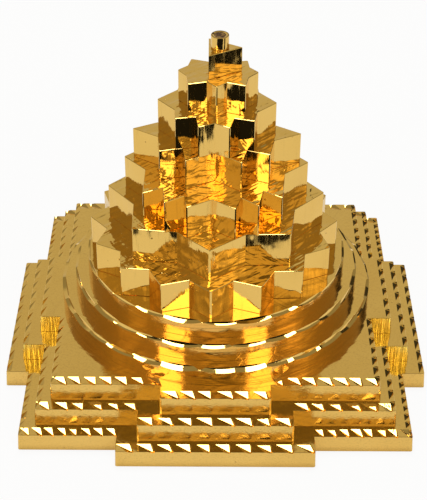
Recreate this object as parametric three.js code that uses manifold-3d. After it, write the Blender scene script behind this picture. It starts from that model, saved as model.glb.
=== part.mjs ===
// Three-dimensional Shri Yantra (meru) in gold plated brass: three gated square plates, three
// round steps and a tower of star shaped tiers, drawn together by one long bolt whose round
// head is the bindu at the tip. Millimetres, +Z up, origin on the underside below the centre.
import * as THREE from 'three';
import { mergeVertices } from 'three/addons/utils/BufferGeometryUtils.js';
import Module from 'manifold-3d';

const wasm = await Module();
wasm.setup();

// Driving dimensions

// Gated square plates, from the bottom up. A gate is the part that stands out of each side.
const plates = [
  { name: 'base_plate_lower', half: 39.8, gateReach: 4.7, gateHalf: 19.95, thick: 3.75 },
  { name: 'base_plate_middle', half: 36.5, gateReach: 4.65, gateHalf: 15.7, thick: 4 },
  { name: 'base_plate_upper', half: 33.4, gateReach: 4.25, gateHalf: 11.15, thick: 4 },
];

// Round steps, from the bottom up
const roundSteps = [
  { name: 'round_step_lower', radius: 33.3, thick: 3.75 },
  { name: 'round_step_middle', radius: 30.3, thick: 3.75 },
  { name: 'round_step_upper', radius: 27.5, thick: 3.75 },
];

// Star tiers, from the bottom up. A regular star has its tips and its valleys on two circles.
// The others have one quarter of their outline, from the right hand tip round to the front:
// x to the right and y towards the front. The back is the same, drawn in by backScale.
// yaw is in degrees, and shiftX is how far the tier's centre stands to the right.
const tiers = [
  { name: 'sixteen_petal_tier', tips: 16, tipR: 26.25, valleyR: 22.85, thick: 6.75, yaw: -1.2, shiftX: -0.5 },
  { name: 'eight_petal_tier', tips: 8, tipR: 22.7, valleyR: 18.05, thick: 7.5, yaw: -3, shiftX: -0.15 },
  {
    name: 'fourteen_point_tier', thick: 7.25, yaw: -3, shiftX: -0.1, backScale: 1,
    quarter: [[19.1, 0], [14.3, 4.85], [14, 13.9], [10.1, 11.6], [9.4, 17.2], [5.7, 14.35], [4.9, 18.55], [0, 15.4]],
  },
  {
    name: 'outer_ten_point_tier', thick: 6.75, yaw: -3, shiftX: 0, backScale: 1,
    quarter: [[17.3, 0], [11.85, 3.1], [11.15, 8.75], [6.5, 7.25], [5.6, 12.2], [0, 8.25]],
  },
  {
    name: 'inner_ten_point_tier', thick: 7, yaw: -3, shiftX: 0, backScale: 1,
    quarter: [[12.1, 0], [8.3, 4.15], [7.9, 7.75], [3.85, 6.85], [3.15, 10.8], [0, 9.1]],
  },
  {
    name: 'eight_point_tier', thick: 6.75, yaw: -3, shiftX: 0.2, backScale: 0.82,
    quarter: [[8.1, 0], [6.2, 2.4], [5.7, 5.9], [2, 4.7], [0, 6.7]],
  },
];

// Triangle on top of the tower, pointing right
const triangle = { tipR: 4.45, thick: 5.25 };

// Long tie bolt. Its round head is the bindu. It stands a little to the right of the centre.
const tie = { x: 0.5, headR: 1.8, headHigh: 2.75, shankR: 1, endZ: 0.9 };

// Nut and washer of the tie bolt, in a pocket through the lower plate
const pocketR = 4.4;
const washer = { outerR: 2.6, thick: 0.5 };
const nut = { cornerR: 2.31, thick: 1.6 };

// Cheese head screws that hold the three plates together from below
const baseScrew = { shankR: 1.5, headR: 2.75, headHigh: 1.8, reach: 26, seatZ: 2.1, endZ: 10.6 };
const screwSlot = { wide: 0.8, deep: 0.9, length: 8, firstTurn: 0.3, turnStep: 0.6 };

// Dowels that keep the pieces from turning against each other
const baseDowel = { r: 1, reach: 22, fromZ: 1.3, intoUpper: 2.3 };
const stepPin = { r: 1, reach: 16, intoPlate: 2, intoTier: 3 };
const towerPin = { r: 0.75, reach: 4.1, intoLowest: 4, intoHighest: 3 };

const clearance = 0.3;
const overcut = 1;
const circleSides = { large: 72, head: 32, small: 16, hexagon: 6 };

// Materials

const goldPlate = { color: 0xd9a83f, roughness: 0.12, metalness: 1 };
const plainBrass = { color: 0xb9964e, roughness: 0.35, metalness: 1 };
const steel = { color: 0x9a9c9e, roughness: 0.4, metalness: 1 };

// Solids and cuts

function toSolid(geometry) {
  geometry.deleteAttribute('normal');
  geometry.deleteAttribute('uv');
  const merged = mergeVertices(geometry, 1e-5);
  return new wasm.Manifold(new wasm.Mesh({
    numProp: 3,
    vertProperties: new Float32Array(merged.attributes.position.array),
    triVerts: new Uint32Array(merged.index.array),
  }));
}

function toGeometry(solid) {
  const mesh = solid.getMesh();
  const geometry = new THREE.BufferGeometry();
  geometry.setAttribute('position', new THREE.BufferAttribute(new Float32Array(mesh.vertProperties), 3));
  geometry.setIndex(new THREE.BufferAttribute(new Uint32Array(mesh.triVerts), 1));
  geometry.computeVertexNormals();
  return geometry;
}

// An upright round bar from z0 to z1
function bar(x, y, radius, z0, z1, sides = circleSides.small) {
  const geometry = new THREE.CylinderGeometry(radius, radius, z1 - z0, sides);
  geometry.rotateX(Math.PI / 2);
  geometry.translate(x, y, (z0 + z1) / 2);
  return toSolid(geometry);
}

// An upright prism with the given outline, from z0 to z1
function prism(points, z0, z1) {
  const shape = new THREE.Shape(points.map(([x, y]) => new THREE.Vector2(x, y)));
  const geometry = new THREE.ExtrudeGeometry(shape, { depth: z1 - z0, bevelEnabled: false });
  geometry.translate(0, 0, z0);
  return toSolid(geometry);
}

const group = new THREE.Group();

function addPiece(name, solid, finish) {
  const mesh = new THREE.Mesh(toGeometry(solid), new THREE.MeshStandardMaterial(finish));
  mesh.name = name;
  group.add(mesh);
}

// Outlines

function gatedSquare({ half, gateReach, gateHalf }) {
  const side = [[-half, -half], [-gateHalf, -half], [-gateHalf, -half - gateReach],
    [gateHalf, -half - gateReach], [gateHalf, -half]];
  const points = [];
  for (let turn = 0; turn < 4; turn += 1) {
    const c = [1, 0, -1, 0][turn];
    const s = [0, 1, 0, -1][turn];
    side.forEach(([x, y]) => points.push([x * c - y * s, x * s + y * c]));
  }
  return points;
}

// Star with one tip to the right, tips and valleys on two circles
function regularStar({ tips, tipR, valleyR }) {
  const points = [];
  for (let i = 0; i < tips * 2; i += 1) {
    const r = i % 2 === 0 ? tipR : valleyR;
    const angle = (i * Math.PI) / tips;
    points.push([r * Math.cos(angle), r * Math.sin(angle)]);
  }
  return points;
}

// Outline from its front right quarter, anticlockwise from the right hand tip
function mirroredStar({ quarter, backScale }) {
  const inner = quarter.slice(1, -1);
  const front = quarter[quarter.length - 1];
  const side = quarter[0];
  const back = backScale;
  return [
    side,
    ...inner.map(([x, y]) => [x, y * back]),
    [0, front[1] * back],
    ...inner.toReversed().map(([x, y]) => [-x, y * back]),
    [-side[0], 0],
    ...inner.map(([x, y]) => [-x, -y]),
    [0, -front[1]],
    ...inner.toReversed().map(([x, y]) => [x, -y]),
  ];
}

function turned(points, degrees, shiftX = 0) {
  const angle = THREE.MathUtils.degToRad(degrees);
  const c = Math.cos(angle);
  const s = Math.sin(angle);
  return points.map(([x, y]) => [x * c - y * s + shiftX, x * s + y * c]);
}

// Heights: every piece of the stack gets its lower and upper face

let stackZ = 0;
[...plates, ...roundSteps, ...tiers, triangle].forEach((piece) => {
  piece.z0 = stackZ;
  stackZ += piece.thick;
  piece.z1 = stackZ;
});

const [lowerPlate, middlePlate, upperPlate] = plates;
const [footTier, firstTowerTier] = tiers;
const lastTowerTier = tiers[tiers.length - 1];

// Places of the fasteners

const corners = [[1, 1], [-1, 1], [-1, -1], [1, -1]];
const screwPlaces = corners.map(([sx, sy]) => [sx * baseScrew.reach, sy * baseScrew.reach]);
const dowelPlaces = [[-baseDowel.reach, 0], [baseDowel.reach, 0]];
const stepPinPlaces = [[tie.x, -stepPin.reach], [tie.x, stepPin.reach]];
const towerPinPlaces = turned([[-towerPin.reach, 0], [towerPin.reach, 0]], firstTowerTier.yaw, tie.x);

const dowelSpan = [baseDowel.fromZ, upperPlate.z0 + baseDowel.intoUpper];
const stepPinSpan = [upperPlate.z1 - stepPin.intoPlate, footTier.z0 + stepPin.intoTier];
const towerPinSpan = [firstTowerTier.z1 - towerPin.intoLowest, lastTowerTier.z0 + towerPin.intoHighest];

// Every hole of the stack as one upright tool. A piece is cut by the stretch that it holds,
// so a tool's ends are the blind ends of its hole.
const holes = [
  { x: tie.x, y: 0, r: tie.shankR + clearance, z0: -overcut, z1: triangle.z1 + overcut },
  { x: tie.x, y: 0, r: pocketR, z0: -overcut, z1: lowerPlate.z1 },
];
screwPlaces.forEach(([x, y]) => {
  holes.push({ x, y, r: baseScrew.headR + clearance, z0: -overcut, z1: baseScrew.seatZ });
  holes.push({ x, y, r: baseScrew.shankR + clearance, z0: -overcut, z1: baseScrew.endZ + clearance });
});
function addPinHoles(places, radius, [z0, z1]) {
  places.forEach(([x, y]) => {
    holes.push({ x, y, r: radius + clearance, z0: z0 - clearance, z1: z1 + clearance });
  });
}
addPinHoles(dowelPlaces, baseDowel.r, dowelSpan);
addPinHoles(stepPinPlaces, stepPin.r, stepPinSpan);
addPinHoles(towerPinPlaces, towerPin.r, towerPinSpan);

// Cuts into a piece the holes that reach it. An end inside the piece is kept as a blind end,
// and an end outside it is moved just past its face.
function drill(solid, z0, z1) {
  let cut = solid;
  holes.forEach((hole) => {
    if (hole.z0 < z1 && hole.z1 > z0) {
      const from = hole.z0 > z0 ? hole.z0 : z0 - overcut;
      const to = hole.z1 < z1 ? hole.z1 : z1 + overcut;
      cut = cut.subtract(bar(hole.x, hole.y, hole.r, from, to));
    }
  });
  return cut;
}

// Gated square plates

plates.forEach((plate) => {
  const blank = prism(gatedSquare(plate), plate.z0, plate.z1);
  addPiece(plate.name, drill(blank, plate.z0, plate.z1), goldPlate);
});

// Round steps

roundSteps.forEach((step) => {
  const blank = bar(0, 0, step.radius, step.z0, step.z1, circleSides.large);
  addPiece(step.name, drill(blank, step.z0, step.z1), goldPlate);
});

// Star tiers

tiers.forEach((tier) => {
  const outline = tier.quarter ? mirroredStar(tier) : regularStar(tier);
  const blank = prism(turned(outline, tier.yaw, tier.shiftX), tier.z0, tier.z1);
  addPiece(tier.name, drill(blank, tier.z0, tier.z1), goldPlate);
});

// Triangle at the top

const trianglePoints = [0, 120, 240].map((degrees) => {
  const angle = THREE.MathUtils.degToRad(degrees);
  return [tie.x + triangle.tipR * Math.cos(angle), triangle.tipR * Math.sin(angle)];
});
const triangleBlank = prism(trianglePoints, triangle.z0, triangle.z1);
addPiece('triangle_block', drill(triangleBlank, triangle.z0, triangle.z1), goldPlate);

// Tie bolt with the bindu as its head, and its washer and nut

const boltHead = bar(tie.x, 0, tie.headR, triangle.z1, triangle.z1 + tie.headHigh, circleSides.head);
const boltShank = bar(tie.x, 0, tie.shankR, tie.endZ, triangle.z1 + tie.headHigh / 2);
addPiece('bindu_tie_bolt', boltHead.add(boltShank), goldPlate);

const washerTop = middlePlate.z0;
const washerFoot = washerTop - washer.thick;
const nutFoot = washerFoot - nut.thick;
const nutBore = bar(tie.x, 0, tie.shankR + clearance, nutFoot - overcut, washerTop + overcut);
const washerBlank = bar(tie.x, 0, washer.outerR, washerFoot, washerTop);
addPiece('tie_washer', washerBlank.subtract(nutBore), plainBrass);
const nutBlank = bar(tie.x, 0, nut.cornerR, nutFoot, washerFoot, circleSides.hexagon);
addPiece('tie_nut', nutBlank.subtract(nutBore), plainBrass);

// Base screws

screwPlaces.forEach(([x, y], index) => {
  const headFoot = baseScrew.seatZ - baseScrew.headHigh;
  const head = bar(x, y, baseScrew.headR, headFoot, baseScrew.seatZ);
  const shank = bar(x, y, baseScrew.shankR, baseScrew.seatZ - screwSlot.deep / 2, baseScrew.endZ);
  const slot = new THREE.BoxGeometry(screwSlot.length, screwSlot.wide, screwSlot.deep * 2);
  slot.rotateZ(screwSlot.firstTurn + index * screwSlot.turnStep);
  slot.translate(x, y, headFoot);
  addPiece(`base_screw_${index + 1}`, head.add(shank).subtract(toSolid(slot)), plainBrass);
});

// Dowels and pins

function addPins(name, places, radius, [z0, z1]) {
  places.forEach(([x, y], index) => {
    addPiece(`${name}_${index + 1}`, bar(x, y, radius, z0, z1), steel);
  });
}
addPins('base_dowel', dowelPlaces, baseDowel.r, dowelSpan);
addPins('step_pin', stepPinPlaces, stepPin.r, stepPinSpan);
addPins('tower_pin', towerPinPlaces, towerPin.r, towerPinSpan);

export default group;
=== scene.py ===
import math
import random

import bmesh
import bpy
from mathutils import Matrix, Quaternion, Vector


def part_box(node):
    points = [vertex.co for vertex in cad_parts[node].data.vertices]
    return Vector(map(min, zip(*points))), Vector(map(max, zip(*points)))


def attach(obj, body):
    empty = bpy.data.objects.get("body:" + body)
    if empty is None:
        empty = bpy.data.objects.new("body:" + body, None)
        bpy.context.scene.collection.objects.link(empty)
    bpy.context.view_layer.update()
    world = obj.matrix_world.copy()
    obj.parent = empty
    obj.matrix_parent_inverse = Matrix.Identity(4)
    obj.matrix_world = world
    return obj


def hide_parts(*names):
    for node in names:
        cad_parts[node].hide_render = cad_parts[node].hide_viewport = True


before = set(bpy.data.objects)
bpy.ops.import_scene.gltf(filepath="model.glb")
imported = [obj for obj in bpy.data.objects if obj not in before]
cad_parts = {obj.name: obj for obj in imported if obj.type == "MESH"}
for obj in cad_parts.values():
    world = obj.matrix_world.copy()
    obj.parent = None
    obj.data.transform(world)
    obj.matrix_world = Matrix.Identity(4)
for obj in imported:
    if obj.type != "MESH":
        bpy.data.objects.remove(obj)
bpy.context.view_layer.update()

MM = 0.001

# Camera of the product photograph, fitted on its 427 x 500 pixels. Angles are in degrees.
PHOTO_HIGH = 500
SENSOR = 36.0
FOCAL_PIXELS = 1433.45
CAMERA_DISTANCE = 309.465 * MM
CAMERA_ELEVATION = 35.026
CAMERA_AZIMUTH = -0.085
CAMERA_ROLL = 0.343
CAMERA_TARGET = Vector((-0.534, 0, 21.56)) * MM
CAMERA_NEAR = 0.01
CAMERA_FAR = 20

# Gated square plates: half width of the square, half width of a gate, pitch of the bright cuts
# beside the gates, and whether the gates' short side walls were left sawn
PLATES = {
    "base_plate_lower": {
        "half": 39.8 * MM, "gate_half": 19.95 * MM, "side_pitch": 2.5 * MM, "sawn": False},
    "base_plate_middle": {
        "half": 36.5 * MM, "gate_half": 15.7 * MM, "side_pitch": 3.4 * MM, "sawn": True},
    "base_plate_upper": {
        "half": 33.4 * MM, "gate_half": 11.15 * MM, "side_pitch": 3.2 * MM, "sawn": True},
}
GATE_PITCH = 4.0 * MM
# How far a plate's walls lean in at the top
TAPER = 0.2 * MM

# Star tiers, in mm and degrees. A regular star has its tips and valleys on two circles. The others
# have the front right quarter of their outline, x to the right and y towards the front, which the
# other three quarters mirror. The back half is back_scale times as deep. The shift is to the right.
REGULAR_STARS = {
    "sixteen_petal_tier": {"tips": 16, "tip": 26.25, "valley": 22.85, "yaw": -1.2, "shift": -0.5},
    "eight_petal_tier": {"tips": 8, "tip": 22.7, "valley": 18.05, "yaw": -3, "shift": -0.15},
}
MIRRORED_STARS = {
    "fourteen_point_tier": {
        "yaw": -3, "shift": -0.1, "back_scale": 1,
        "quarter": [(19.1, 0), (14.3, 4.85), (14, 13.9), (10.1, 11.6),
                    (9.4, 17.2), (5.7, 14.35), (4.9, 18.55), (0, 15.4)],
    },
    "outer_ten_point_tier": {
        "yaw": -3, "shift": 0, "back_scale": 1,
        "quarter": [(17.3, 0), (11.85, 3.1), (11.15, 8.75), (6.5, 7.25), (5.6, 12.2), (0, 8.25)],
    },
    "inner_ten_point_tier": {
        "yaw": -3, "shift": 0, "back_scale": 1,
        "quarter": [(12.1, 0), (8.3, 4.15), (7.9, 7.75), (3.85, 6.85), (3.15, 10.8), (0, 9.1)],
    },
    "eight_point_tier": {
        "yaw": -3, "shift": 0.2, "back_scale": 0.82,
        "quarter": [(8.1, 0), (6.2, 2.4), (5.7, 5.9), (2, 4.7), (0, 6.7)],
    },
}

# From the triangle's centre to a tip
TRIANGLE_TIP = 4.45 * MM

# Top of the bindu: a flat rim, then a slope down to a flat floor
BINDU_RIM = 0.25 * MM
BINDU_SLOPE = 0.35 * MM
BINDU_DISH = 0.1 * MM

# How wide the edges are broken. Corners and tips are the upright edges that stick out.
PLATE_EDGE = 0.05 * MM
CORNER_EDGE = 0.35 * MM
TIER_EDGE = 0.1 * MM
TIP_EDGE = 0.28 * MM
BINDU_EDGE = 0.12 * MM
# Corners and edges are broken where their faces meet at more than this many degrees
CORNER_FROM = 25
EDGE_FROM = 40
CORNER_SEGMENTS = 2

# Slanting bright cuts of the plates' edges: how far inside the wall they start, the rim of the pit
# from its inner left corner onwards and its deepest point, in mm along the edge, outwards from the
# cuts' inner line, and upwards. Some lean along the edge, by up to the given slope. Those of the
# left and right sides only nick the edge.
SLANT_CUTS = {
    "front": {"band": 2.3 * MM, "lean": 0.3, "deep": (3.1, 1.65, -0.46),
              "rim": [(0, 0), (2.9, 0), (3.3, 0.4), (3.4, 2.95), (2.4, 2.95)]},
    "side": {"band": 1.1 * MM, "lean": 0, "deep": (3.55, 1.2, -0.4),
             "rim": [(0, 0), (3.3, 0), (3.75, 0.3), (3.75, 1.5), (2.65, 1.5)]},
}
# How these cuts stray: their width, place in the pitch, depth and lean as shares, their height in mm
SLANT_STRAY = {
    "width": (0.88, 1.04), "place": (0, 0.06), "height": (-0.04, 0.05), "depth": (0.85, 1.15),
    "lean": (-0.3, 1)}

# Long bright cuts of a round step's rim. Each has a steep inner wall, which leans out by step_lean
# of its height, and a bed that is hollow ground to a radius and falls outwards by some degrees.
RING_CUT = {
    "pitch": 6.8 * MM, "radius": 15 * MM, "deep": 0.55 * MM, "fall": 18, "step_lean": 0.25, "sides": 10}
# How far in from the rim they reach, and the share by which they reach less far at the left and right
RING_INSETS = {
    "round_step_lower": 1.3 * MM,
    "round_step_middle": 0.95 * MM,
    "round_step_upper": 0.9 * MM,
}
RING_SIDE_NARROW = 0.35
# How they stray: their place as a share of the pitch, their reach and height in mm, their tilt in
# degrees
RING_STRAY = {"place": (-0.16, 0.16), "inset": (-0.4, 0.2), "height": (-0.1, 0.25), "tilt": (-2, 2)}

# How far a cutting tool stands out past the piece, at its ends, and above the face that it cuts
OVERCUT = 0.5 * MM
TRIM = 0.2 * MM
RING_LID = 1 * MM

# Straight sides that stand in for a round
ROUND_SIDES = 180
BINDU_SIDES = 64
HOLE_SIDES = 32

# A face or edge counts as turned a given way when its direction has more than this share of it
FACING = 0.9
UPRIGHT_EDGE = 0.8
# Neighbouring faces within this many degrees of each other count as one flat face
FLAT_WITHIN = 1

jitter = random.Random(11)


def stray(spread):
    """The next seeded draw within a spread."""
    return jitter.uniform(*spread)


# Modelling helpers

def only(*objects):
    """Selects just these objects and makes the first one active."""
    bpy.ops.object.select_all(action="DESELECT")
    for one in objects:
        one.select_set(True)
    bpy.context.view_layer.objects.active = objects[0]


def settle(piece):
    """Moves a piece's place, turn and size into its mesh."""
    only(piece)
    bpy.ops.object.transform_apply(location=True, rotation=True, scale=True)


def edit(piece):
    only(piece)
    bpy.ops.object.mode_set(mode="EDIT")


def leave():
    bpy.ops.object.mode_set(mode="OBJECT")


def pick(piece, kind, test):
    """In edit mode, selects only the vertices, edges or faces that pass the test."""
    bpy.ops.mesh.select_mode(type=kind)
    bpy.ops.mesh.select_all(action="DESELECT")
    mesh = bmesh.from_edit_mesh(piece.data)
    parts = {"VERT": mesh.verts, "EDGE": mesh.edges, "FACE": mesh.faces}[kind]
    for part in parts:
        part.select = bool(test(part))
    mesh.select_flush_mode()
    bmesh.update_edit_mesh(piece.data)


def extrude(offset):
    bpy.ops.mesh.extrude_region_move(TRANSFORM_OT_translate={"value": offset})


def extrude_all(offset):
    """In edit mode, draws a flat piece out into a solid whose faces look outwards."""
    bpy.ops.mesh.select_all(action="SELECT")
    extrude(offset)
    bpy.ops.mesh.select_all(action="SELECT")
    bpy.ops.mesh.normals_make_consistent(inside=False)


def cut(piece, tool, crossing=False):
    """Cuts the tool out of the piece and throws the tool away. Parts of the tool may cross."""
    only(piece)
    modifier = piece.modifiers.new("cut", "BOOLEAN")
    modifier.operation = "DIFFERENCE"
    modifier.solver = "EXACT"
    modifier.object = tool
    modifier.use_self = crossing
    bpy.ops.object.modifier_apply(modifier=modifier.name)
    bpy.data.objects.remove(tool)


def join(pieces):
    only(*pieces)
    bpy.ops.object.join()
    joined = bpy.context.view_layer.objects.active
    settle(joined)
    return joined


def copied(piece, matrix):
    twin = piece.copy()
    twin.data = piece.data.copy()
    bpy.context.scene.collection.objects.link(twin)
    twin.data.transform(matrix)
    return twin


def upright(x, y, radius, low, high, sides):
    """An upright round bar, as a new piece."""
    bpy.ops.mesh.primitive_cylinder_add(
        vertices=sides, radius=radius, depth=high - low, location=(x, y, (low + high) / 2))
    bar = bpy.context.active_object
    settle(bar)
    return bar


def outlined_blank(points):
    """A flat many sided face, made from a round one by moving its rim points to the given places."""
    bpy.ops.mesh.primitive_circle_add(vertices=len(points), radius=MM, fill_type="NGON")
    piece = bpy.context.active_object
    edit(piece)
    for index, goal in enumerate(points):
        pick(piece, "VERT", lambda vertex: vertex.index == index)
        mesh = bmesh.from_edit_mesh(piece.data)
        mesh.verts.ensure_lookup_table()
        bpy.ops.transform.translate(value=goal - mesh.verts[index].co)
    leave()
    return piece


def sharp(edge, degrees):
    return edge.is_manifold and edge.calc_face_angle() > math.radians(degrees)


def is_upright(edge):
    along = edge.verts[1].co - edge.verts[0].co
    return abs(along.z) > UPRIGHT_EDGE * along.length


def ease_edges(piece, width, corner_width=None, segments=2):
    """Breaks the crisp edges, and first, wider, the upright corners that stick out, where they have a
    width of their own. One segment makes a flat and more make a round."""
    edit(piece)
    if corner_width:
        pick(piece, "EDGE", lambda edge: sharp(edge, CORNER_FROM) and is_upright(edge)
             and edge.is_convex)
        bpy.ops.mesh.bevel(offset=corner_width, segments=CORNER_SEGMENTS, affect="EDGES")
    pick(piece, "EDGE", lambda edge: sharp(edge, EDGE_FROM)
         and not (corner_width and is_upright(edge)))
    bpy.ops.mesh.bevel(offset=width, segments=segments, affect="EDGES")
    leave()


# Holes. Every fastener of the stack runs in a hole with room round it.

HOLE_ROOM = 0.3 * MM
POCKET_RADIUS = 4.4 * MM
PINS = ["base_dowel_1", "base_dowel_2", "step_pin_1", "step_pin_2", "tower_pin_1", "tower_pin_2"]
SCREWS = ["base_screw_1", "base_screw_2", "base_screw_3", "base_screw_4"]
SCREW_HEAD_RADIUS = 2.75 * MM
SCREW_SHANK_RADIUS = 1.5 * MM
SCREW_HEAD_TOP = 2.1 * MM
TIE_SHANK_RADIUS = 1.0 * MM


def middle(node_name):
    low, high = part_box(node_name)
    return (low + high) / 2


def stack_holes():
    """Each hole as its centre, its radius and the heights of its two ends."""
    below = -OVERCUT * 2
    tie = middle("tie_washer")
    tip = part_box("bindu_tie_bolt")[1].z
    holes = [
        (tie.x, tie.y, TIE_SHANK_RADIUS + HOLE_ROOM, below, tip),
        (tie.x, tie.y, POCKET_RADIUS, below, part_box("base_plate_lower")[1].z),
    ]
    for screw in SCREWS:
        centre = middle(screw)
        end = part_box(screw)[1].z + HOLE_ROOM
        holes.append((centre.x, centre.y, SCREW_HEAD_RADIUS + HOLE_ROOM, below, SCREW_HEAD_TOP))
        holes.append((centre.x, centre.y, SCREW_SHANK_RADIUS + HOLE_ROOM, below, end))
    for pin in PINS:
        low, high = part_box(pin)
        centre = middle(pin)
        radius = (high.y - low.y) / 2 + HOLE_ROOM
        holes.append((centre.x, centre.y, radius, low.z - HOLE_ROOM, high.z + HOLE_ROOM))
    return holes


def drill(piece, node_name):
    """Drills those holes of the stack that reach into the piece."""
    low, high = (corner.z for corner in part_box(node_name))
    for x, y, radius, start, end in stack_holes():
        if start < high - OVERCUT and end > low + OVERCUT:
            start = start if start > low else low - OVERCUT
            end = end if end < high else high + OVERCUT
            cut(piece, upright(x, y, radius, start, end, HOLE_SIDES))


# Bright cuts

def slant_tool(shape):
    """What one slanting cut takes out of a plate's edge: a low pyramid hanging from a lid. The edge
    runs along X with its outside towards -Y. The cut starts at X 0 and its inner line is at Y 0."""
    rim = [Vector((x, -y, 0)) * MM for x, y in shape["rim"]]
    x, y, z = shape["deep"]
    deepest = Vector((x, -y, z)) * MM
    tool = outlined_blank(rim[::-1])
    edit(tool)
    bpy.ops.mesh.select_all(action="SELECT")
    extrude((0, 0, 2 * TRIM))
    pick(tool, "FACE", lambda face: face.calc_center_median().z < TRIM / 2)
    bpy.ops.mesh.poke()
    mesh = bmesh.from_edit_mesh(tool.data)
    centre = [vertex for vertex in mesh.verts if vertex.select and len(vertex.link_edges) == len(rim)]
    pick(tool, "VERT", lambda vertex: vertex in centre)
    bpy.ops.transform.translate(value=deepest - centre[0].co)
    bpy.ops.mesh.select_all(action="SELECT")
    bpy.ops.mesh.normals_make_consistent(inside=False)
    leave()
    return tool


def slant_cuts(piece, plate, node_name):
    """Slanting cuts along the gates and the free stretches of the four sides."""
    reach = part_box(node_name)[1].y
    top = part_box(node_name)[1].z
    half = plate["half"] - TAPER
    gate = plate["gate_half"] - TAPER / 2
    # Stretches of one side: from where to where, how far out the wall is, and the pitch of its cuts
    stretches = [
        (-half, -gate, half, plate["side_pitch"]),
        (-gate, gate, reach - TAPER, GATE_PITCH),
        (gate, half, half, plate["side_pitch"]),
    ]
    masters = {kind: slant_tool(shape) for kind, shape in SLANT_CUTS.items()}
    tools = []
    for quarter in range(4):
        side = Matrix.Rotation(quarter * math.pi / 2, 4, "Z")
        kind = "side" if quarter % 2 else "front"
        shape = SLANT_CUTS[kind]
        for start, end, away, pitch in stretches:
            count = round((end - start) / pitch)
            for index in range(count):
                width = (end - start) / count / GATE_PITCH * stray(SLANT_STRAY["width"])
                along = start + (end - start) * (index + stray(SLANT_STRAY["place"])) / count
                lift = stray(SLANT_STRAY["height"]) * MM
                place = Matrix.Translation((along, shape["band"] - away, top + lift))
                warp = Matrix.Diagonal((width, 1, stray(SLANT_STRAY["depth"]), 1))
                warp[0][1] = -stray(SLANT_STRAY["lean"]) * shape["lean"]
                tools.append(copied(masters[kind], side @ place @ warp))
    for master in masters.values():
        bpy.data.objects.remove(master)
    cut(piece, join(tools), crossing=True)


def ring_tool(inset):
    """What one cut takes out of a round step's rim: a steep step at the inner end, then a hollow bed
    that falls outwards. The rim's outside is towards -Y and the step is at Y 0."""
    radius = RING_CUT["radius"]
    deep = RING_CUT["deep"]
    sides = RING_CUT["sides"]
    widest = math.acos(1 - (deep + TRIM) / radius)
    arc = [widest * (2 * index / sides - 1) for index in range(sides + 1)]
    bed = [(radius * math.sin(angle), radius * (1 - math.cos(angle)) - deep) for angle in arc]
    lid = [(x, RING_LID) for x in (bed[-1][0], bed[0][0])]
    tool = outlined_blank([Vector((x, z * RING_CUT["step_lean"], z)) for x, z in bed + lid])
    length = inset + OVERCUT
    fall = length * math.tan(math.radians(RING_CUT["fall"]))
    edit(tool)
    extrude_all((0, -length, -fall))
    leave()
    return tool


def ring_cuts(piece, node_name):
    """Long cuts all the way round a round step."""
    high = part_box(node_name)[1]
    radius = high.y
    count = round(2 * math.pi * radius / RING_CUT["pitch"])
    master = ring_tool(RING_INSETS[node_name])
    tools = []
    for index in range(count):
        angle = (index + stray(RING_STRAY["place"])) * 2 * math.pi / count
        inset = RING_INSETS[node_name] * (1 - RING_SIDE_NARROW * abs(math.sin(angle)))
        inset += stray(RING_STRAY["inset"]) * MM
        lift = stray(RING_STRAY["height"]) * MM
        tilt = Matrix.Rotation(math.radians(stray(RING_STRAY["tilt"])), 4, "Y")
        place = Matrix.Translation((0, inset - radius, high.z + lift))
        tools.append(copied(master, Matrix.Rotation(angle, 4, "Z") @ place @ tilt))
    bpy.data.objects.remove(master)
    cut(piece, join(tools), crossing=True)


# Shader nodes, and arithmetic on their sockets

# Colour sockets of a Mix node, by their place in its lists
MIX_FIRST = 6
MIX_SECOND = 7
MIX_RESULT = 2
# Radius at which the way round the upright axis is measured
ARC_RADIUS = 15 * MM


class Wire:
    """An output socket. Arithmetic on it adds Math nodes to its tree."""

    def __init__(self, socket):
        self.socket = socket
        self.tree = socket.id_data

    def _math(self, operation, left, right):
        return node(self.tree, "ShaderNodeMath", {"operation": operation}, {0: left, 1: right})

    def __add__(self, other):
        return self._math("ADD", self, other)

    __radd__ = __add__

    def __sub__(self, other):
        return self._math("SUBTRACT", self, other)

    def __rsub__(self, other):
        return self._math("SUBTRACT", other, self)

    def __mul__(self, other):
        return self._math("MULTIPLY", self, other)

    def __pow__(self, other):
        return self._math("POWER", self, other)


def node(tree, kind, settings=None, inputs=None, output=0):
    """Adds a node, sets it, then gives its sockets their values or links. Returns one output."""
    made = tree.nodes.new(kind)
    for name, value in (settings or {}).items():
        setattr(made, name, value)
    for name, value in (inputs or {}).items():
        if isinstance(value, Wire):
            tree.links.new(value.socket, made.inputs[name])
        else:
            made.inputs[name].default_value = value
    return Wire(made.outputs[output])


def new_material(name):
    material = bpy.data.materials.new(name)
    material.use_nodes = True
    material.node_tree.nodes.clear()
    return material, material.node_tree


def end_with(kind, shader):
    """Leads a shader to its tree's output node."""
    out = shader.tree.nodes.new(kind)
    shader.tree.links.new(shader.socket, out.inputs["Surface"])


def metal_surface(colour, roughness, normal):
    shader = node(normal.tree, "ShaderNodeBsdfPrincipled", {}, {
        "Base Color": colour, "Metallic": 1.0, "Roughness": roughness, "Normal": normal}, output="BSDF")
    end_with("ShaderNodeOutputMaterial", shader)


def place_coords(tree, scale=(1, 1, 1), turn=(0, 0, 0)):
    """Places in the piece, seen along turned axes. A scale below 1 draws a pattern out."""
    coords = node(tree, "ShaderNodeTexCoord", output="Object")
    return node(tree, "ShaderNodeMapping", {"vector_type": "TEXTURE"}, {
        "Vector": coords, "Scale": [1 / factor for factor in scale], "Rotation": turn})


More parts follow.
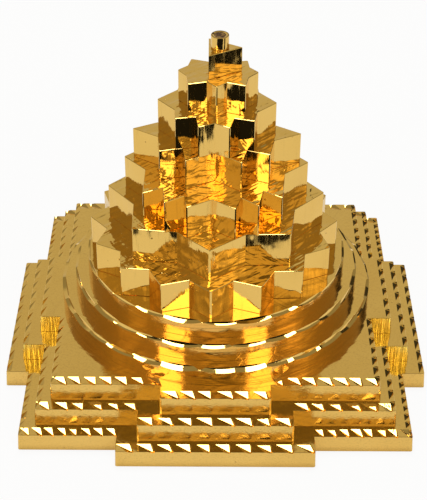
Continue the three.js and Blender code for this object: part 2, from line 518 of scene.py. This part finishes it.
def arc_coords(tree, draw_out):
    """Distance from the upright axis, then the way round it, measured at ARC_RADIUS and drawn out by
    draw_out, then height."""
    place = place_coords(tree)
    x, y, z = (node(tree, "ShaderNodeSeparateXYZ", {}, {0: place}, output=axis) for axis in "XYZ")
    angle = node(tree, "ShaderNodeMath", {"operation": "ARCTAN2"}, {0: y, 1: x})
    return node(tree, "ShaderNodeCombineXYZ", {}, {
        "X": (x * x + y * y) ** 0.5, "Y": angle * (ARC_RADIUS / draw_out), "Z": z})


def noise(place, per_metre, detail=2.0, rough=0.5):
    return node(place.tree, "ShaderNodeTexNoise", {}, {
        "Vector": place, "Scale": per_metre, "Detail": detail, "Roughness": rough})


def ramp(value, low, high):
    """0 below low and 1 above high, with a smooth rise between them."""
    return node(value.tree, "ShaderNodeMapRange", {"interpolation_type": "SMOOTHSTEP"}, {
        "Value": value, "From Min": low, "From Max": high})


def mixed(amount, first, second):
    """The first colour where the amount is 0 and the second where it is 1."""
    return node(amount.tree, "ShaderNodeMix", {"data_type": "RGBA"}, {
        "Factor": amount, MIX_FIRST: first, MIX_SECOND: second}, output=MIX_RESULT)


def bumped(height, depth, normal=None):
    inputs = {"Height": height, "Distance": depth}
    if normal:
        inputs["Normal"] = normal
    return node(height.tree, "ShaderNodeBump", {}, inputs)


def scratches(tree, turn, per_metre=900):
    """Fine straight lines, long in one direction."""
    lines = place_coords(tree, scale=(1, 0.03, 1), turn=(0, 0, turn))
    return ramp(noise(lines, per_metre, detail=3.0), 0.62, 0.72)


def pits(tree, per_metre, reach):
    """Small round pits here and there, 1 inside a pit."""
    place = place_coords(tree)
    cells = node(tree, "ShaderNodeTexVoronoi", {}, {"Vector": place, "Scale": per_metre}, output="Distance")
    kept = ramp(noise(place, per_metre * 0.35), 0.58, 0.66)
    return (1 - ramp(cells, reach * 0.4, reach)) * kept


# Materials. Noise and pits are given by how many there are to the metre, bumps by their depth.

GOLD = (0.90, 0.59, 0.165, 1)
# Brighter gold of the gates' sawn cheeks: a painted highlight
GOLD_PAINTED_BRIGHT = (1.0, 0.77, 0.17, 1)
GOLD_WARM = (0.88, 0.475, 0.11, 1)
GOLD_DEEP = (0.78, 0.46, 0.10, 1)
GOLD_DULL = (0.42, 0.25, 0.07, 1)
# Very dark brown of the bindu's top: a painted dark reflection
PAINTED_DARK_REFLECTION = (0.1, 0.04, 0.012, 1)
BRASS_LIGHT = (0.62, 0.45, 0.2, 1)
BRASS_DARK = (0.42, 0.28, 0.11, 1)
STEEL_LIGHT = (0.5, 0.5, 0.51, 1)
STEEL_DARK = (0.3, 0.29, 0.28, 1)
PAPER_WHITE = (0.8, 0.8, 0.8, 1)
PURE_WHITE = (1, 1, 1, 1)
CARD_BLACK = (0.012, 0.012, 0.012, 1)


def toned(wide, low, high, amount):
    """Gold that turns deeper where a wide noise is high."""
    return mixed(ramp(wide, low, high) * amount, GOLD, GOLD_DEEP)


def polished_top():
    """Level faces of the plates and round steps: a mirror with long shallow ripples, hair scratches
    and a few pits."""
    material, tree = new_material("polished_gold_top")
    place = place_coords(tree)
    wide = noise(place, per_metre=55)
    ripples = noise(place_coords(tree, scale=(1, 3.2, 1), turn=(0, 0, 0.5)), per_metre=120, detail=1.0)
    hair = scratches(tree, turn=0.9) + scratches(tree, turn=-0.4, per_metre=700)
    grain = noise(place, per_metre=2600)
    small_pits = pits(tree, per_metre=620, reach=0.12)
    worn = small_pits * 0.7 + hair * 0.1 + ramp(grain, 0.45, 0.7) * 0.15
    colour = mixed(worn, toned(wide, 0.3, 0.75, 0.35), GOLD_DULL)
    roughness = 0.05 + ramp(wide, 0.35, 0.7) * 0.05 + hair * 0.1 + small_pits * 0.3
    normal = bumped(ripples, depth=0.1 * MM)
    normal = bumped(grain + hair - small_pits * 2, depth=0.006 * MM, normal=normal)
    metal_surface(colour, roughness, normal)
    return material


def rippled_ledge():
    """Level faces of the tower's tiers: left wavy by the cutter, in short ripples round it."""
    material, tree = new_material("rippled_gold_ledge")
    place = place_coords(tree)
    wide = noise(place, per_metre=90)
    arcs = noise(arc_coords(tree, draw_out=5), per_metre=850, detail=1.0)
    strokes = noise(place_coords(tree, scale=(0.2, 1, 1), turn=(0, 0, 0.73)), per_metre=800, detail=1.0)
    swells = noise(place, per_metre=210, detail=1.0)
    small_pits = pits(tree, per_metre=620, reach=0.12)
    colour = mixed(small_pits * 0.7, toned(wide, 0.3, 0.75, 0.35), GOLD_DULL)
    roughness = 0.04 + ramp(wide, 0.35, 0.7) * 0.05 + small_pits * 0.3
    normal = bumped(swells, depth=0.6 * MM)
    normal = bumped(arcs * 0.7 + strokes, depth=0.24 * MM, normal=normal)
    metal_surface(colour, roughness, normal)
    return material


def polished_wall():
    """Upright faces of the tiers: a wavy mirror drawn out by upright tool strokes."""
    material, tree = new_material("polished_gold_wall")
    wide = noise(place_coords(tree), per_metre=70)
    strokes = noise(place_coords(tree, scale=(1, 1, 0.09)), per_metre=1500, detail=3.0)
    waves = noise(place_coords(tree, scale=(1, 1, 0.6)), per_metre=190, detail=1.5)
    small_pits = pits(tree, per_metre=560, reach=0.14)
    worn = small_pits * 0.8 + ramp(strokes, 0.6, 0.75) * 0.15
    colour = mixed(worn, toned(wide, 0.3, 0.75, 0.3), GOLD_DULL)
    roughness = 0.04 + ramp(wide, 0.4, 0.7) * 0.06 + ramp(strokes, 0.5, 0.7) * 0.08
    roughness = roughness + small_pits * 0.3
    normal = bumped(waves, depth=0.32 * MM)
    normal = bumped(strokes * 0.8 - small_pits, depth=0.025 * MM, normal=normal)
    metal_surface(colour, roughness, normal)
    return material


def turned_wall():
    """Rims of the round steps: warm gold with fine level lines, as left by a lathe."""
    material, tree = new_material("turned_gold_rim")
    wide = noise(place_coords(tree, scale=(1, 1, 0.5)), per_metre=110)
    lines = noise(place_coords(tree, scale=(0.05, 0.05, 1)), per_metre=2200, detail=3.0)
    waves = noise(place_coords(tree, scale=(1, 1, 0.35)), per_metre=150)
    grain = noise(place_coords(tree, scale=(0.4, 0.4, 1)), per_metre=2800, detail=3.0)
    colour = mixed(ramp(wide, 0.35, 0.7) * 0.6, GOLD_WARM, GOLD_DEEP)
    colour = mixed(ramp(lines, 0.5, 0.75) * 0.5, colour, GOLD_DULL)
    roughness = 0.09 + ramp(lines, 0.45, 0.7) * 0.1 + ramp(wide, 0.5, 0.7) * 0.06
    normal = bumped(waves, depth=0.18 * MM)
    normal = bumped(lines + grain * 0.5, depth=0.016 * MM, normal=normal)
    metal_surface(colour, roughness, normal)
    return material


def cast_wall():
    """Walls of the plates: grainy and a little lumpy under the plating."""
    material, tree = new_material("plated_grainy_wall")
    place = place_coords(tree)
    wide = noise(place, per_metre=60)
    grain = noise(place, per_metre=3600, detail=3.0, rough=0.6)
    lumps = noise(place_coords(tree, scale=(1, 1, 1.6)), per_metre=700)
    small_pits = pits(tree, per_metre=480, reach=0.16)
    worn = small_pits * 0.85 + ramp(grain, 0.5, 0.7) * 0.3
    colour = mixed(worn, toned(wide, 0.3, 0.7, 0.3), GOLD_DULL)
    roughness = 0.12 + ramp(grain, 0.4, 0.7) * 0.12 + small_pits * 0.3
    normal = bumped(lumps, depth=0.03 * MM)
    normal = bumped(grain - small_pits, depth=0.013 * MM, normal=normal)
    metal_surface(colour, roughness, normal)
    return material


def sawn_cheek():
    """Short side walls of the gates: coarse upright saw strokes that throw the light wide, on a brighter
    gold that is a painted highlight.
    """
    material, tree = new_material("plated_sawn_cheek")
    strokes = noise(place_coords(tree, scale=(1, 1, 0.06)), per_metre=2600)
    bands = noise(place_coords(tree, scale=(0.2, 0.2, 1)), per_metre=700)
    # Painted highlight: the cheeks are a brighter gold than the plates' other faces
    colour = mixed(ramp(bands, 0.55, 0.7) * 0.2, GOLD_PAINTED_BRIGHT, GOLD)
    roughness = 0.28 + ramp(bands, 0.4, 0.7) * 0.1
    normal = bumped(strokes + bands * 0.15, depth=0.16 * MM)
    metal_surface(colour, roughness, normal)
    return material


def bright_cut():
    """Slanting faces left by the cutter: the brightest mirror, with faint feed lines."""
    material, tree = new_material("bright_cut_gold")
    feed = noise(place_coords(tree, scale=(1, 1, 0.3)), per_metre=1100)
    wide = noise(place_coords(tree), per_metre=240, detail=1.0)
    roughness = 0.03 + ramp(feed, 0.5, 0.7) * 0.05
    normal = bumped(wide, depth=0.05 * MM)
    normal = bumped(feed, depth=0.008 * MM, normal=normal)
    metal_surface(toned(wide, 0.4, 0.8, 0.3), roughness, normal)
    return material


def worn_cap_painted_dark():
    """Top of the bindu: dulled, with turning marks and pale scuffs. Its dark brown colour is a painted dark
    reflection, paler in patches.
    """
    material, tree = new_material("worn_bindu_top_painted_dark")
    patches = noise(place_coords(tree), per_metre=900, detail=3.0)
    marks = noise(arc_coords(tree, draw_out=12), per_metre=3000)
    scuffs = scratches(tree, turn=0.5, per_metre=2200)
    # Painted dark reflection: dark brown over the whole top, dull gold where the patches are high
    colour = mixed(ramp(patches, 0.48, 0.68) * 0.8, PAINTED_DARK_REFLECTION, GOLD_DULL)
    colour = mixed(scuffs * 0.4, colour, GOLD)
    roughness = 0.22 + ramp(patches, 0.4, 0.7) * 0.15
    normal = bumped(patches + marks * 0.4, depth=0.08 * MM)
    metal_surface(colour, roughness, normal)
    return material


def turned_metal(name, light, dark, base_rough):
    """Turned or ground metal of the hidden fasteners."""
    material, tree = new_material(name)
    turned = noise(place_coords(tree, scale=(0.15, 0.15, 1)), per_metre=2600, detail=3.0)
    wide = noise(place_coords(tree), per_metre=260, detail=3.0)
    colour = mixed(ramp(wide, 0.35, 0.7) * 0.6, light, dark)
    roughness = base_rough + ramp(turned, 0.4, 0.7) * 0.15
    normal = bumped(turned, depth=0.02 * MM)
    metal_surface(colour, roughness, normal)
    return material


TOP = polished_top()
LEDGE = rippled_ledge()
WALL = polished_wall()
RIM = turned_wall()
GRAINY = cast_wall()
CHEEK = sawn_cheek()
BRIGHT = bright_cut()
WORN_CAP_PAINTED_DARK = worn_cap_painted_dark()
PLAIN_BRASS = turned_metal("turned_brass", BRASS_LIGHT, BRASS_DARK, base_rough=0.28)
STEEL = turned_metal("ground_steel", STEEL_LIGHT, STEEL_DARK, base_rough=0.3)


# Finishing: each face takes the finish of how it was made

# Upright share of a face's direction: level faces have more than the first, walls less than the
# second
LEVEL_ABOVE = 0.985
WALL_BELOW = 0.2
# Points closer than this become one
WELD = 0.0005 * MM
# Faces that meet at less than this angle, in degrees, are shaded as one surface
SMOOTH_UP_TO = 12


def not_a_cheek(face):
    return False


def cheek_outside(half):
    """A test for the gates' short side walls, which lie outside the square of that half width."""
    def test(face):
        x = abs(face.center.x)
        y = abs(face.center.y)
        sideways = face.normal.y if x > y else face.normal.x
        return max(x, y) > half and abs(sideways) > FACING
    return test


def dress(piece, top, wall, is_cheek=not_a_cheek):
    """Level faces get the top finish, upright ones the wall's or the cheek's, slanting ones the
    bright cut's."""
    finishes = [top, wall, BRIGHT, CHEEK]
    piece.data.materials.clear()
    for material in finishes:
        piece.data.materials.append(material)
    for face in piece.data.polygons:
        lean = abs(face.normal.z)
        if lean > LEVEL_ABOVE:
            finish = top
        elif lean < WALL_BELOW:
            finish = CHEEK if is_cheek(face) else wall
        else:
            finish = BRIGHT
        face.material_index = finishes.index(finish)


def finish_piece(piece, name, node_name):
    """Cleans and shades a piece, names it and puts it in the place of its CAD node."""
    edit(piece)
    bpy.ops.mesh.select_all(action="SELECT")
    bpy.ops.mesh.remove_doubles(threshold=WELD)
    leave()
    only(piece)
    bpy.ops.object.shade_smooth_by_angle(angle=math.radians(SMOOTH_UP_TO))
    piece.name = name
    piece.data.name = name
    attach(piece, "root")
    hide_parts(node_name)


# Gated square plates

def gated_plate(node_name, plate):
    """A square slab with a gate drawn out of each side, and a little draft on all its walls."""
    low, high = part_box(node_name)
    half = plate["half"]
    gate = plate["gate_half"]
    bpy.ops.mesh.primitive_cube_add(
        size=1, location=(0, 0, (low.z + high.z) / 2), scale=(2 * half, 2 * half, high.z - low.z))
    piece = bpy.context.active_object
    settle(piece)
    edit(piece)
    for axis in (Vector((1, 0, 0)), Vector((0, 1, 0))):
        for side in (-gate, gate):
            bpy.ops.mesh.select_all(action="SELECT")
            bpy.ops.mesh.bisect(plane_co=axis * side, plane_no=axis)
    for quarter in range(4):
        outward = Matrix.Rotation(quarter * math.pi / 2, 3, "Z") @ Vector((0, -1, 0))
        across = Vector((-outward.y, outward.x, 0))
        pick(piece, "FACE", lambda face: face.normal.dot(outward) > FACING
             and abs(face.calc_center_median().dot(across)) < gate)
        extrude(outward * (high.y - half))
    bpy.ops.mesh.select_all(action="SELECT")
    bpy.ops.mesh.dissolve_limited(angle_limit=math.radians(FLAT_WITHIN))
    pick(piece, "FACE", lambda face: face.normal.z > FACING)
    bpy.ops.transform.resize(value=(1 - TAPER / half, 1 - TAPER / half, 1))
    leave()
    ease_edges(piece, PLATE_EDGE, CORNER_EDGE, segments=1)
    return piece


for node_name, plate in PLATES.items():
    piece = gated_plate(node_name, plate)
    drill(piece, node_name)
    slant_cuts(piece, plate, node_name)
    dress(piece, TOP, GRAINY, cheek_outside(plate["half"]) if plate["sawn"] else not_a_cheek)
    finish_piece(piece, node_name + "_bright_cut", node_name)


# Round steps

for node_name in RING_INSETS:
    low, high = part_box(node_name)
    piece = upright(0, 0, high.y, low.z, high.z, ROUND_SIDES)
    ease_edges(piece, PLATE_EDGE)
    drill(piece, node_name)
    ring_cuts(piece, node_name)
    dress(piece, TOP, RIM)
    finish_piece(piece, node_name + "_bright_cut", node_name)


# Star tiers

def regular_outline(star):
    points = []
    for index in range(star["tips"] * 2):
        radius = star["valley"] if index % 2 else star["tip"]
        angle = index * math.pi / star["tips"]
        points.append((radius * math.cos(angle), radius * math.sin(angle)))
    return points


def mirrored_outline(star):
    """The four quarters in turn: back right, back left, front left and front right."""
    side, *inner, front = star["quarter"]
    back = star["back_scale"]
    inward = inner[::-1]
    return [
        side,
        *((x, y * back) for x, y in inner),
        (0, front[1] * back),
        *((-x, y * back) for x, y in inward),
        (-side[0], 0),
        *((-x, -y) for x, y in inner),
        (0, -front[1]),
        *((x, -y) for x, y in inward),
    ]


def star_tier(node_name, star, outline):
    """A round blank whose rim points are moved to the outline, then drawn up to its height."""
    low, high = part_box(node_name)
    turn = Matrix.Rotation(math.radians(star["yaw"]), 3, "Z")
    shift = Vector((star["shift"] * MM, 0, low.z))
    piece = outlined_blank([turn @ Vector((x, y, 0)) * MM + shift for x, y in outline])
    edit(piece)
    extrude_all((0, 0, high.z - low.z))
    leave()
    ease_edges(piece, TIER_EDGE, TIP_EDGE)
    return piece


for stars, outline_of in ((REGULAR_STARS, regular_outline), (MIRRORED_STARS, mirrored_outline)):
    for node_name, star in stars.items():
        piece = star_tier(node_name, star, outline_of(star))
        drill(piece, node_name)
        dress(piece, LEDGE, WALL)
        finish_piece(piece, node_name + "_polished", node_name)


# Triangle and bindu

def triangle_top():
    low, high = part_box("triangle_block")
    centre_x = high.x - TRIANGLE_TIP
    bpy.ops.mesh.primitive_cylinder_add(
        vertices=3, radius=TRIANGLE_TIP, depth=high.z - low.z,
        location=(centre_x, 0, (low.z + high.z) / 2), rotation=(0, 0, -math.pi / 2))
    piece = bpy.context.active_object
    settle(piece)
    ease_edges(piece, TIER_EDGE)
    drill(piece, "triangle_block")
    dress(piece, LEDGE, WALL)
    finish_piece(piece, "triangle_block_polished", "triangle_block")


def bindu_bolt():
    """The bolt's head, which is the bindu, is dished at the top and drawn out below into the shank."""
    low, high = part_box("bindu_tie_bolt")
    centre = middle("tie_washer")
    head_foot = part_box("triangle_block")[1].z
    head_radius = (high.x - low.x) / 2
    piece = upright(centre.x, centre.y, head_radius, head_foot, high.z, BINDU_SIDES)
    edit(piece)
    pick(piece, "FACE", lambda face: face.normal.z > FACING)
    bpy.ops.mesh.inset(thickness=BINDU_RIM, depth=0)
    bpy.ops.mesh.inset(thickness=BINDU_SLOPE, depth=-BINDU_DISH)
    pick(piece, "FACE", lambda face: face.normal.z < -FACING)
    bpy.ops.mesh.inset(thickness=head_radius - TIE_SHANK_RADIUS)
    extrude((0, 0, low.z - head_foot))
    leave()
    ease_edges(piece, BINDU_EDGE, segments=3)
    dress(piece, WORN_CAP_PAINTED_DARK, WALL)
    finish_piece(piece, "bindu_tie_bolt_turned", "bindu_tie_bolt")


triangle_top()
bindu_bolt()


# Fasteners that keep their own shape

def coat(node_names, material):
    for node_name in node_names:
        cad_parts[node_name].data.materials.clear()
        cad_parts[node_name].data.materials.append(material)


coat(["tie_washer", "tie_nut", *SCREWS], PLAIN_BRASS)
coat(PINS, STEEL)


# Stage, in metres

FLOOR_SIZE = 6.0
# The floor is a hair below the object, so that the two share no plane
FLOOR_DROP = 0.02 * MM
# How much of the floor's own white the camera sees, and how much of it the metal does
FLOOR_GLOW_SEEN = 0.9
FLOOR_GLOW_IN_METAL = 0.2

# Black cards that lie just above the floor: their width and depth, and the middle of their back edge
CARD_LIFT = 0.3 * MM
CARDS = {
    "black_card_near": {"size": (0.09, 0.006), "back_edge": (0, -0.067)},
    "black_card_front": {"size": (0.16, 0.05), "back_edge": (0, -0.073)},
    "black_card_far": {"size": (1.2, 0.8), "back_edge": (0, -0.123)},
    "black_card_right": {"size": (0.06, 0.06), "back_edge": (0.132, -0.05)},
}

# Soft boxes: the direction in which they stand and how far off, seen from where they aim, their
# width and height, and how bright their faces are
LAMPS_AIM = Vector((0, 0, 35)) * MM
SOFT_BOXES = {
    "overhead_box": {
        "direction": (-0.03, 0.25, 1), "distance": 0.8, "size": (0.34, 0.4), "brightness": 8.4},
    "front_left_box": {
        "direction": (-0.47, -0.67, 0.48), "distance": 0.7, "size": (0.2, 0.32), "brightness": 2.8},
    "front_right_box": {
        "direction": (0.47, -0.67, 0.48), "distance": 0.7, "size": (0.2, 0.32), "brightness": 2.8},
}

# Studio walls: their grey and tint, and the fields where they are paler or darker. A field has the
# direction of its middle, the cosines of the angle from there at which it fades in and is full, and
# the grey that it adds or the share of the light that it takes.
WALL_GREY = 0.3
WALL_GREEN = 0.95
WALL_BLUE = 0.76
PALE_FIELDS = {
    "behind": {"middle": (-0.08, 0.9, 0.44), "fade": (0.86, 0.93), "adds": 0.28},
    "whole_front": {"middle": (0, -1, 0.3), "fade": (-0.2, 0.6), "adds": 0.11},
    "front": {"middle": (0, -0.9, 0.44), "fade": (0.963, 0.973), "adds": 0.35},
    "right": {"middle": (0.89, -0.26, 0.38), "fade": (0.94, 0.978), "adds": 0.35},
    "front_right": {"middle": (0.8, -0.38, 0.46), "fade": (0.97, 0.99), "adds": 0.6},
    "left": {"middle": (-0.89, -0.26, 0.38), "fade": (0.94, 0.978), "adds": 0.3},
}
DARK_FIELDS = {
    "high_front": {"middle": (0, -0.62, 0.78), "fade": (0.974, 0.985), "takes": 0.6},
    "low_front": {"middle": (0, -1, 0.05), "fade": (0.92, 0.96), "takes": 0.9},
    "behind_right": {"middle": (0.42, 0.77, 0.49), "fade": (0.972, 0.985), "takes": 0.85},
}


def stage_sheet(name, size, location):
    bpy.ops.mesh.primitive_plane_add(size=1, location=location)
    sheet = bpy.context.active_object
    sheet.scale = (size[0], size[1], 1)
    sheet.name = name
    return sheet


def floor_material():
    """White paper. The camera sees it nearly white of itself, with faint shadows. The metal sees
    mostly the lit paper, with its shadows."""
    material, tree = new_material("white_paper_floor")
    by_camera = node(tree, "ShaderNodeLightPath", output="Is Camera Ray")
    in_metal = node(tree, "ShaderNodeLightPath", output="Is Glossy Ray")
    glow = in_metal * FLOOR_GLOW_IN_METAL + by_camera * FLOOR_GLOW_SEEN
    paper = node(tree, "ShaderNodeBsdfDiffuse", {}, {"Color": PAPER_WHITE})
    white = node(tree, "ShaderNodeEmission", {}, {"Color": PURE_WHITE, "Strength": 1.0})
    both = node(tree, "ShaderNodeMixShader", {}, {0: glow, 1: paper, 2: white})
    end_with("ShaderNodeOutputMaterial", both)
    return material


def card_material():
    material, tree = new_material("black_card")
    end_with("ShaderNodeOutputMaterial", node(tree, "ShaderNodeBsdfDiffuse", {}, {"Color": CARD_BLACK}))
    return material


def dark_card(name, card, material):
    """A black card that shows only in the metal."""
    width, depth = card["size"]
    x, y = card["back_edge"]
    sheet = stage_sheet(name, (width, depth), (x, y - depth / 2, CARD_LIFT))
    sheet.data.materials.append(material)
    sheet.visible_camera = False
    sheet.visible_diffuse = False
    sheet.visible_shadow = False


def soft_box(name, box):
    """A rectangular lamp that faces the object. Its power goes with its area, so that its face is as
    bright at any size."""
    width, height = box["size"]
    data = bpy.data.lights.new(name, "AREA")
    data.shape = "RECTANGLE"
    data.size = width
    data.size_y = height
    data.energy = box["brightness"] * math.pi * width * height
    lamp = bpy.data.objects.new(name, data)
    bpy.context.scene.collection.objects.link(lamp)
    away = Vector(box["direction"]).normalized()
    lamp.location = LAMPS_AIM + away * box["distance"]
    lamp.rotation_mode = "QUATERNION"
    lamp.rotation_quaternion = away.to_track_quat("Z", "Y")


def studio_world():
    """Grey walls with paler and darker fields, which light the stage and show in the metal."""
    world = bpy.data.worlds.new("grey_studio")
    bpy.context.scene.world = world
    world.use_nodes = True
    tree = world.node_tree
    tree.nodes.clear()
    direction = node(tree, "ShaderNodeTexCoord", output="Generated")

    def inside(field):
        """1 in the middle of a field and 0 outside it."""
        cosine = node(tree, "ShaderNodeVectorMath", {"operation": "DOT_PRODUCT"}, {
            0: direction, 1: Vector(field["middle"]).normalized()}, output="Value")
        return ramp(cosine, *field["fade"])

    grey = WALL_GREY
    for field in PALE_FIELDS.values():
        grey = grey + inside(field) * field["adds"]
    for field in DARK_FIELDS.values():
        grey = grey * (1 - inside(field) * field["takes"])
    colour = node(tree, "ShaderNodeCombineColor", {}, {
        "Red": grey, "Green": grey * WALL_GREEN, "Blue": grey * WALL_BLUE})
    walls = node(tree, "ShaderNodeBackground", {}, {"Color": colour, "Strength": 1.0})
    end_with("ShaderNodeOutputWorld", walls)


def photo_camera():
    data = bpy.data.cameras.new("photo_camera")
    data.lens = FOCAL_PIXELS / PHOTO_HIGH * SENSOR
    data.sensor_width = SENSOR
    data.clip_start = CAMERA_NEAR
    data.clip_end = CAMERA_FAR
    camera = bpy.data.objects.new("photo_camera", data)
    bpy.context.scene.collection.objects.link(camera)
    azimuth = math.radians(CAMERA_AZIMUTH)
    elevation = math.radians(CAMERA_ELEVATION)
    back = Vector((math.sin(azimuth) * math.cos(elevation), -math.cos(azimuth) * math.cos(elevation),
                   math.sin(elevation)))
    camera.location = CAMERA_TARGET + back * CAMERA_DISTANCE
    camera.rotation_mode = "QUATERNION"
    roll = Quaternion((0, 0, 1), math.radians(CAMERA_ROLL))
    camera.rotation_quaternion = (-back).to_track_quat("-Z", "Y") @ roll
    bpy.context.scene.camera = camera


floor = stage_sheet("paper_floor", (FLOOR_SIZE, FLOOR_SIZE), (0, 0, -FLOOR_DROP))
floor.data.materials.append(floor_material())
BLACK_CARD = card_material()
for name, card in CARDS.items():
    dark_card(name, card, BLACK_CARD)
for name, box in SOFT_BOXES.items():
    soft_box(name, box)
studio_world()
photo_camera()
bpy.context.scene.view_settings.view_transform = "Standard"
